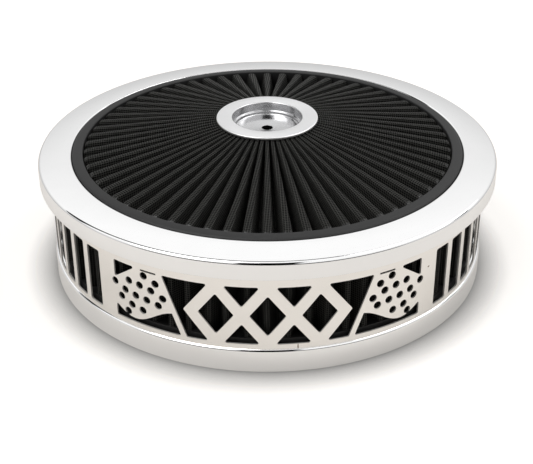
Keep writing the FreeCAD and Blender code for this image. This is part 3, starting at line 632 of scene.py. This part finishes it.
# %% Moulded rim
ledge_radius, rim_foot, rim_top = reach_of("lid_filter_rim")
RIM_INNER = 143.4
RIM_OUTER = 151.6
LEDGE_DEPTH = 2.4
LIP_GAP = 0.15
CHAMFER = 1.2
CHAMFER_FOOT = 0.4
CHAMFER_TOP = 0.6
ledge_top = lip_foot - LIP_GAP
moulded_rim = turned("moulded_filter_rim", [
    (RIM_INNER, rim_foot, 0.6),
    (RIM_OUTER, rim_foot, 1.0),
    (RIM_OUTER, ledge_top - 2 * LEDGE_DEPTH, 0.6),
    (ledge_radius, ledge_top - LEDGE_DEPTH, 0.5),
    (ledge_radius, ledge_top, 0.4),
    (RIM_OUTER, ledge_top, 0.3),
    (RIM_OUTER, lid_top - CHAMFER_FOOT, 0.6),
    (RIM_OUTER - CHAMFER, lid_top + CHAMFER_TOP, 0.8),
    (RIM_INNER, rim_top, 1.0),
])
dress(moulded_rim, urethane, "lid_filter_rim")

# %% [markdown]
# ## Folded filters
# A filter fold is a strip bent to and fro. Its section is a rounded crest, two nearly upright
# sides and a narrow valley. The section is worked out once as a curve, then carried out from the
# hub to the rim for the lid and upwards for the side. A small seeded irregularity keeps the folds
# from looking like machined teeth, and each point keeps its distance along the cloth as a UV.


# %% Fold section
SHOULDER_POWER = 0.75
VALLEY_START = 0.90


def fold_curve(half_pitch, half_crest, depth, rounding, steps):
    """Half a fold as (across, down) from crest to valley: a superellipse quarter for the crest's shoulder,
    a straight side, and a flat half valley. All inputs may be arrays; the curve is the last axis."""
    share = np.linspace(0, np.pi / 2, steps)
    bend = np.sin(share) ** SHOULDER_POWER
    drop = 1 - np.cos(share) ** SHOULDER_POWER
    crest_x = half_crest[..., None] * bend
    crest_y = -rounding[..., None] * drop
    foot_x = (half_pitch * VALLEY_START)[..., None]
    side = np.array([0.33, 0.66, 1.0])
    side_x = half_crest[..., None] + (foot_x - half_crest[..., None]) * side
    side_y = -rounding[..., None] - (depth - rounding)[..., None] * side
    end_x = half_pitch[..., None]
    end_y = -depth[..., None]
    across = np.concatenate([crest_x, side_x, end_x], axis=-1)
    down = np.concatenate([crest_y, side_y, end_y], axis=-1)
    return across, down


def whole_fold(half_pitch, half_crest, depth, rounding, steps=6):
    """A fold from valley to valley without its last point, which is the next fold's first."""
    x, y = fold_curve(half_pitch, half_crest, depth, rounding, steps)
    x = np.concatenate([-x[..., ::-1], x[..., 1:-1]], axis=-1)
    y = np.concatenate([y[..., ::-1], y[..., 1:-1]], axis=-1)
    return x, y


def cloth_distance(x, y):
    """Distance along the section from its first point."""
    step = np.hypot(np.diff(x, axis=-1), np.diff(y, axis=-1))
    return np.concatenate([np.zeros(step.shape[:-1] + (1,)), np.cumsum(step, axis=-1)], axis=-1)


def cloth_back(angle, level, radius, thickness):
    """The cloth's other face: each point moves by the thickness, square to the line between its
    neighbours, where the level is the height of a lid fold or the radius of a side fold."""
    after = np.roll(angle, -1, axis=1)
    after[:, -1] += 2 * np.pi
    before = np.roll(angle, 1, axis=1)
    before[:, 0] -= 2 * np.pi
    run = (after - before) * radius
    rise = np.roll(level, -1, axis=1) - np.roll(level, 1, axis=1)
    length = np.hypot(run, rise)
    return angle + rise / length * thickness / radius, level - run / length * thickness


def folded_cloth(name, front, back, u, v):
    """A closed mesh of the cloth's two faces, each as (angle, radius, height), with its UV in mm."""
    angle, radius, height = (np.concatenate([near, far[::-1]]) for near, far in zip(front, back))
    points = np.stack([radius * np.sin(angle), -radius * np.cos(angle), height], axis=-1) * MM
    uv = np.stack([np.concatenate([u, u[::-1]]), np.concatenate([v, v[::-1]])], axis=-1)
    uv = np.concatenate([uv, uv[:1]])
    uv = np.concatenate([uv, uv[:, :1]], axis=1)
    return grid_mesh(name, points, uv=uv, smooth_angle=50.0)


# %% [markdown]
# ### Lid folds
# Sixty-four folds run from the rim up to the hub like a shallow cone, wide at the rim and pinched
# at the hub. Points with the same place in the section lie on a nearly straight line.

# %% Lid folds
LID_PLEATS = 64
PLEAT_OUTER = 143.1
PLEAT_INNER = 38.3
PLEAT_DEPTH = 18.0
PLEAT_HUB_DEPTH = 14.0
CREST_WIDTH = 6.6
CREST_HUB_WIDTH = 2.5
CREST_TAPER = 0.85
CREST_LIMIT = 0.62
CREST_ROUNDING = 0.55
CREST_RISE = 0.3
FLANGE_GAP = 0.3
END_ROUNDING = 2.5
LID_MEDIA = 0.9
FOLD_DRIFT = 0.16
FOLD_LIFT = 0.18
crest_outer = lid_top + CREST_RISE
crest_inner = hub_top - FLANGE_DEPTH - FLANGE_GAP
rng = np.random.default_rng(7)

# The outer end of each crest is rounded down to the rim; the rest of its length is straight.
end_turn = np.radians([90.0, 67.5, 45.0, 22.5])
straight = np.linspace(PLEAT_OUTER - END_ROUNDING, PLEAT_INNER, 22)
radius = np.concatenate([PLEAT_OUTER - END_ROUNDING * (1 - np.sin(end_turn)), straight])
end_drop = np.concatenate([END_ROUNDING * (1 - np.cos(end_turn)), 0 * straight])
reach = (PLEAT_OUTER - radius) / (PLEAT_OUTER - PLEAT_INNER)
crest_height = crest_outer + (crest_inner - crest_outer) * reach
depth = PLEAT_DEPTH + (PLEAT_HUB_DEPTH - PLEAT_DEPTH) * reach
half_pitch = radius * math.pi / LID_PLEATS
half_crest = (CREST_WIDTH + (CREST_HUB_WIDTH - CREST_WIDTH) * reach ** CREST_TAPER) / 2
half_crest = np.minimum(half_crest, CREST_LIMIT * half_pitch)
across, down = whole_fold(half_pitch, half_crest, depth, half_crest * CREST_ROUNDING)
cloth = cloth_distance(across, down)

belly = np.sin(np.pi * np.clip(reach, 0, 1))[None, :, None]
fold_drift = rng.normal(0, FOLD_DRIFT, (LID_PLEATS, 1, 1)) * belly
fold_lift = rng.normal(0, FOLD_LIFT, (LID_PLEATS, 1, 1)) * belly
near_crest = np.clip(1 + down / depth[:, None], 0, 1)[None]
x = (across[None] + fold_drift * near_crest * half_crest[None, :, None]).transpose(1, 0, 2)
y = (down[None] + (fold_lift - end_drop[None, :, None]) * near_crest).transpose(1, 0, 2)
middle = (np.arange(LID_PLEATS) * 2 * np.pi / LID_PLEATS)[None, :, None]
rows = len(radius)
angle = (middle + x / radius[:, None, None]).reshape(rows, -1)
height = (crest_height[:, None, None] + y).reshape(rows, -1)
radius = radius[:, None] + 0 * angle
back_angle, back_height = cloth_back(angle, height, radius, LID_MEDIA)
lid_folds = folded_cloth(
    "lid_filter_folds", (angle, radius, height), (back_angle, radius, back_height),
    np.tile(cloth, (1, LID_PLEATS)), radius,
)
dress(lid_folds, gauze, "lid_filter_pleats")

# %% [markdown]
# ### Side folds
# Behind the band stand seventy-four upright folds. They show only through the cut-outs, as dark
# ribs with a paler crest each.

# %% Side folds
SIDE_PLEATS = 74
SIDE_OUTER = 164.9
SIDE_DEPTH = 9.6
SIDE_MEDIA = 1.0
SIDE_CREST_SHARE = 0.34
SIDE_ROUNDING_SHARE = 0.30
SIDE_SWAY = 0.5
side_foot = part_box("side_filter_pleats")[0].z / MM
side_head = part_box("side_filter_pleats")[1].z / MM
heights = np.linspace(side_foot, side_head, 9)
half_pitch = np.array([SIDE_OUTER * math.pi / SIDE_PLEATS])
across, down = whole_fold(
    half_pitch, half_pitch * SIDE_CREST_SHARE, np.array([SIDE_DEPTH]), half_pitch * SIDE_ROUNDING_SHARE)
belly = np.sin(np.linspace(0, np.pi, len(heights)))[None, :, None]
sway = rng.normal(0, SIDE_SWAY, SIDE_PLEATS)[:, None, None] * belly
middle = (np.arange(SIDE_PLEATS) * 2 * np.pi / SIDE_PLEATS)[:, None, None]
angle = middle + (across[0][None, None, :] + sway) / SIDE_OUTER
angle = angle.transpose(1, 0, 2).reshape(len(heights), -1)
radius = np.tile(SIDE_OUTER + down[0], (len(heights), SIDE_PLEATS))
height = heights[:, None] + 0 * angle
back_angle, back_radius = cloth_back(angle, radius, radius, SIDE_MEDIA)
side_folds = folded_cloth(
    "side_filter_folds", (angle, radius, height), (back_angle, back_radius, height),
    np.tile(cloth_distance(across, down)[0], (len(heights), SIDE_PLEATS)), height,
)
dress(side_folds, gauze, "side_filter_pleats")

# %% [markdown]
# ## Cut-out band
# The band is a flat strip with windows, rolled round. So it is drawn flat first, as closed
# outlines of distance along and height. A constrained triangulation fills it between the windows,
# the points are wrapped onto the cylinder, and the sheet gets its thickness and rounded cut edges.

# %% Band outlines
BAND_RADIUS = 169.2
band_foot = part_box("surround_band")[0].z / MM
band_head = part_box("surround_band")[1].z / MM
OPENING_FOOT = SHELF + 3.8
OPENING_HEIGHT = 46.4
OPENING_TOP = OPENING_FOOT + OPENING_HEIGHT
MIDDLE_HEIGHT = (OPENING_FOOT + OPENING_TOP) / 2
SLOT_WIDTH = 14.2
SLOT_START = 47.3
SLOT_PITCH = 6.635
SLOT_CORNER = 1.6
SLOTS_EACH_SIDE = 20
FLAG_END = 116.5
FLAG_FLY_TOP = 54.4
FLAG_FLY_LOW = 33.0
FLAG_SHOULDER = 96.5
POLE_TOP = 75.3
POLE_FOOT = 57.3
POLE_WIDTH = 4.2
CELL = 3.0
CELL_ALONG = 80.4
CELL_PITCH = 6.62
CELL_LEAN = 2.75
CELL_MIDDLE = 52.75
CELL_SWING = 7.15
CELL_ROW = 5.3
CELL_COLUMNS = 6
CELL_ROWS = 5
LOZENGE_PITCH = 36.0
STROKE = 8.4
CUT_CORNER = 1.1
LOZENGE_HALF = LOZENGE_PITCH / 2
LOZENGE_INSET = STROKE / 2 * math.hypot(LOZENGE_HALF, OPENING_HEIGHT / 2) / (OPENING_HEIGHT / 2)
LOZENGE_REACH = LOZENGE_HALF - LOZENGE_INSET
LOZENGE_RISE = LOZENGE_REACH * OPENING_HEIGHT / 2 / LOZENGE_HALF


def pole_edge(height, offset):
    """Distance along the band of the flagpole's leaning edge at a height."""
    return POLE_FOOT + (height - OPENING_FOOT) / OPENING_HEIGHT * (POLE_TOP - POLE_FOOT) + offset


def flag_wave(along, start):
    """Lower edge of a flag: three quarters of a cosine turn from the pole to the fly."""
    share = (along - start) / (FLAG_END - start)
    swing = (FLAG_FLY_TOP - FLAG_FLY_LOW) / 3
    return FLAG_FLY_LOW + swing * np.cos(share * 1.5 * np.pi) - swing / 8 * (1 - share)


def circle(along, height, radius, steps=20):
    """A round hole as even steps of angle."""
    angle = np.linspace(0, 2 * np.pi, steps, endpoint=False)
    return np.stack([along + radius * np.cos(angle), height + radius * np.sin(angle)], axis=-1)


def lozenge(along):
    """A whole window of the middle lattice."""
    return [(along - LOZENGE_REACH, MIDDLE_HEIGHT), (along, MIDDLE_HEIGHT - LOZENGE_RISE),
            (along + LOZENGE_REACH, MIDDLE_HEIGHT), (along, MIDDLE_HEIGHT + LOZENGE_RISE)]


def half_pattern():
    """Windows right of the front's middle line, as outlines of (along, height)."""
    half, inset, reach, rise = LOZENGE_HALF, LOZENGE_INSET, LOZENGE_REACH, LOZENGE_RISE
    outlines = [round_corners(corners, CUT_CORNER) for corners in (
        lozenge(LOZENGE_PITCH),
        [(half - reach, OPENING_TOP), (half, OPENING_TOP - rise), (half + reach, OPENING_TOP)],
        [(half - reach, OPENING_FOOT), (half + reach, OPENING_FOOT), (half, OPENING_FOOT + rise)],
        [(2 * half + inset, OPENING_FOOT), (pole_edge(OPENING_FOOT, 0), OPENING_FOOT),
         (pole_edge(OPENING_TOP, 0), OPENING_TOP), (2 * half + inset, OPENING_TOP),
         (3 * half + inset, MIDDLE_HEIGHT)],
        [(FLAG_SHOULDER, OPENING_TOP), (FLAG_END, FLAG_FLY_TOP), (FLAG_END, OPENING_TOP)],
        [(pole_edge(OPENING_TOP, POLE_WIDTH), OPENING_TOP - POLE_WIDTH / 3),
         (FLAG_SHOULDER - POLE_WIDTH, OPENING_TOP - POLE_WIDTH / 3),
         (FLAG_SHOULDER - POLE_WIDTH, OPENING_TOP), (pole_edge(OPENING_TOP, POLE_WIDTH), OPENING_TOP)],
    )]
    start = pole_edge(FLAG_FLY_LOW, POLE_WIDTH)
    along = np.linspace(start, FLAG_END, 16)
    wave = np.stack([along, flag_wave(along, start)], axis=-1)
    wave[0, 0] = pole_edge(wave[0, 1], POLE_WIDTH)
    foot = np.array([(FLAG_END, OPENING_FOOT), (pole_edge(OPENING_FOOT, POLE_WIDTH), OPENING_FOOT)])
    corner_radii = np.r_[CUT_CORNER, np.full(len(wave) - 2, 0.2), CUT_CORNER, CUT_CORNER, CUT_CORNER]
    outlines.append(round_corners(np.concatenate([wave, foot]), corner_radii, steps=4))
    for column in range(CELL_COLUMNS):
        for row in range(CELL_ROWS):
            if (column + row) % 2:
                along = CELL_ALONG + CELL_PITCH * column - CELL_LEAN * (row - 1)
                swing = CELL_SWING * math.cos(math.pi * column / (CELL_COLUMNS - 1))
                height = CELL_MIDDLE + swing - CELL_ROW * (row - 1)
                outlines.append(circle(along, height, CELL))
    for index in range(SLOTS_EACH_SIDE):
        middle = math.radians(SLOT_START + index * SLOT_PITCH) * BAND_RADIUS
        corners = [(middle - SLOT_WIDTH / 2, OPENING_FOOT), (middle + SLOT_WIDTH / 2, OPENING_FOOT),
                   (middle + SLOT_WIDTH / 2, OPENING_TOP), (middle - SLOT_WIDTH / 2, OPENING_TOP)]
        outlines.append(round_corners(corners, SLOT_CORNER))
    return outlines


right = half_pattern()
left = [outline[::-1] * (-1, 1) for outline in right]
windows = right + left + [round_corners(lozenge(0.0), CUT_CORNER)]
print("band windows:", len(windows))


# %% Band surface
def evenly_split(outline, longest):
    """Add points so that no step of a closed outline is longer than a length."""
    following = np.roll(outline, -1, axis=0)
    length = np.linalg.norm(following - outline, axis=1)
    count = np.maximum(1, np.ceil(length / longest)).astype(int)
    start = np.repeat(np.arange(len(outline)), count)
    share = (np.arange(count.sum()) - np.repeat(np.cumsum(count) - count, count)) / np.repeat(count, count)
    return outline[start] + (following - outline)[start] * share[:, None]


def inside(places, outline):
    """Even-odd test: how many sides of the outline a ray towards +x crosses."""
    start = outline
    end = np.roll(outline, -1, axis=0)
    x, y = places[:, :1], places[:, 1:]
    spans = (start[None, :, 1] > y) != (end[None, :, 1] > y)
    slope = (end[:, 0] - start[:, 0]) / np.where(end[:, 1] == start[:, 1], 1e-9, end[:, 1] - start[:, 1])
    crossing = start[None, :, 0] + (y - start[None, :, 1]) * slope[None, :]
    return (spans & (x < crossing)).sum(axis=1) % 2 == 1


SEAM_HALF = 0.25
STEP = 4.0
WINDOW_MARGIN = 1.2
WINDOW_GAP = 1.4
CUT_EDGE_ROUNDING = 0.22
end_along = math.pi * BAND_RADIUS - SEAM_HALF
strip = np.array([
    (-end_along, band_foot), (end_along, band_foot), (end_along, band_head), (-end_along, band_head)])
outlines = [evenly_split(strip, STEP)] + [evenly_split(window, STEP) for window in windows]
border = np.concatenate(outlines)
sizes = np.array([len(outline) for outline in outlines])
offsets = np.cumsum(sizes) - sizes
edges = np.concatenate([
    np.stack([np.arange(size), (np.arange(size) + 1) % size], axis=-1) + offset
    for size, offset in zip(sizes, offsets)
])
grid_x, grid_y = np.meshgrid(
    np.arange(-end_along + STEP, end_along - STEP / 2, STEP),
    np.linspace(band_foot, band_head, 16)[1:-1],
)
fill = np.stack([grid_x.ravel(), grid_y.ravel()], axis=-1)
keep = np.ones(len(fill), dtype=bool)
for outline in outlines[1:]:
    low, high = outline.min(axis=0) - WINDOW_MARGIN, outline.max(axis=0) + WINDOW_MARGIN
    near = np.all((fill > low) & (fill < high), axis=1) & keep
    keep[np.flatnonzero(near)[inside(fill[near], outline)]] = False
    if near.any():
        gap = np.linalg.norm(fill[near][:, None] - outline[None], axis=-1).min(axis=1)
        keep[np.flatnonzero(near)[gap < WINDOW_GAP]] = False
flat = np.concatenate([border, fill[keep]])
cells = delaunay_2d_cdt([Vector(p) for p in flat.tolist()], edges.tolist(), [], 0, 1e-6)
flat = np.array([tuple(p) for p in cells[0]])
triangles = np.array(cells[2])
middles = flat[triangles].mean(axis=1)
solid = np.ones(len(middles), dtype=bool)
for outline in outlines[1:]:
    low, high = outline.min(axis=0), outline.max(axis=0)
    near = np.flatnonzero(np.all((middles > low) & (middles < high), axis=1))
    solid[near[inside(middles[near], outline)]] = False
triangles = triangles[solid]
print("band triangles, one side:", len(triangles))

sides = np.concatenate([triangles[:, [0, 1]], triangles[:, [1, 2]], triangles[:, [2, 0]]])
key = np.sort(sides, axis=1)
first, uses = np.unique(key, axis=0, return_index=True, return_counts=True)[1:]
rim = sides[first[uses == 1]]
count = len(flat)


def wrapped(radius):
    """The flat strip's points on the cylinder of a radius: angle is distance over the band's radius."""
    angle = flat[:, 0] / BAND_RADIUS
    return np.stack([radius * np.sin(angle), -radius * np.cos(angle), flat[:, 1]], axis=-1) * MM


outside_points = wrapped(BAND_RADIUS)
inside_points = wrapped(BAND_RADIUS - SHEET)
mesh = bpy.data.meshes.new("rolled_cutout_band")
walls = np.stack([rim[:, 1], rim[:, 0], rim[:, 0] + count, rim[:, 1] + count], axis=-1)
faces = triangles.tolist() + (triangles[:, ::-1] + count).tolist() + walls.tolist()
mesh.from_pydata(np.concatenate([outside_points, inside_points]).tolist(), [], faces)
band = finish_mesh(mesh, 40.0)
soften = band.modifiers.new("cut_edges", "BEVEL")
soften.width = CUT_EDGE_ROUNDING * MM
soften.segments = 2
soften.limit_method = "ANGLE"
soften.angle_limit = math.radians(50)
soften.harden_normals = True
dress(band, band_plate, "surround_band")
band.data.materials.append(cut_edge)
finish_index = np.repeat([0, 1], [2 * len(triangles), len(walls)])
band.data.polygons.foreach_set("material_index", finish_index.astype(np.int32))

# %% [markdown]
# ## Pieces that keep their own mesh
# The end rings, the moulding at the hub, the washer, the seam's plate and rivets and the gasket are
# small or hidden, and their construction mesh is right, so each only gets its finish.

# %% Construction pieces
FINISHES = {
    "side_filter_lower_cap": urethane,
    "side_filter_upper_cap": urethane,
    "hub_potting": urethane,
    "hub_backing_plate": zinc,
    "band_splice_plate": zinc,
    "band_rivets": zinc,
    "neck_gasket": black_rubber,
}
for node, material in FINISHES.items():
    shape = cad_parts[node]
    shape.data.materials.clear()
    shape.data.materials.append(material)
print("construction pieces finished:", len(FINISHES))

# %% End
print("end of scene script")
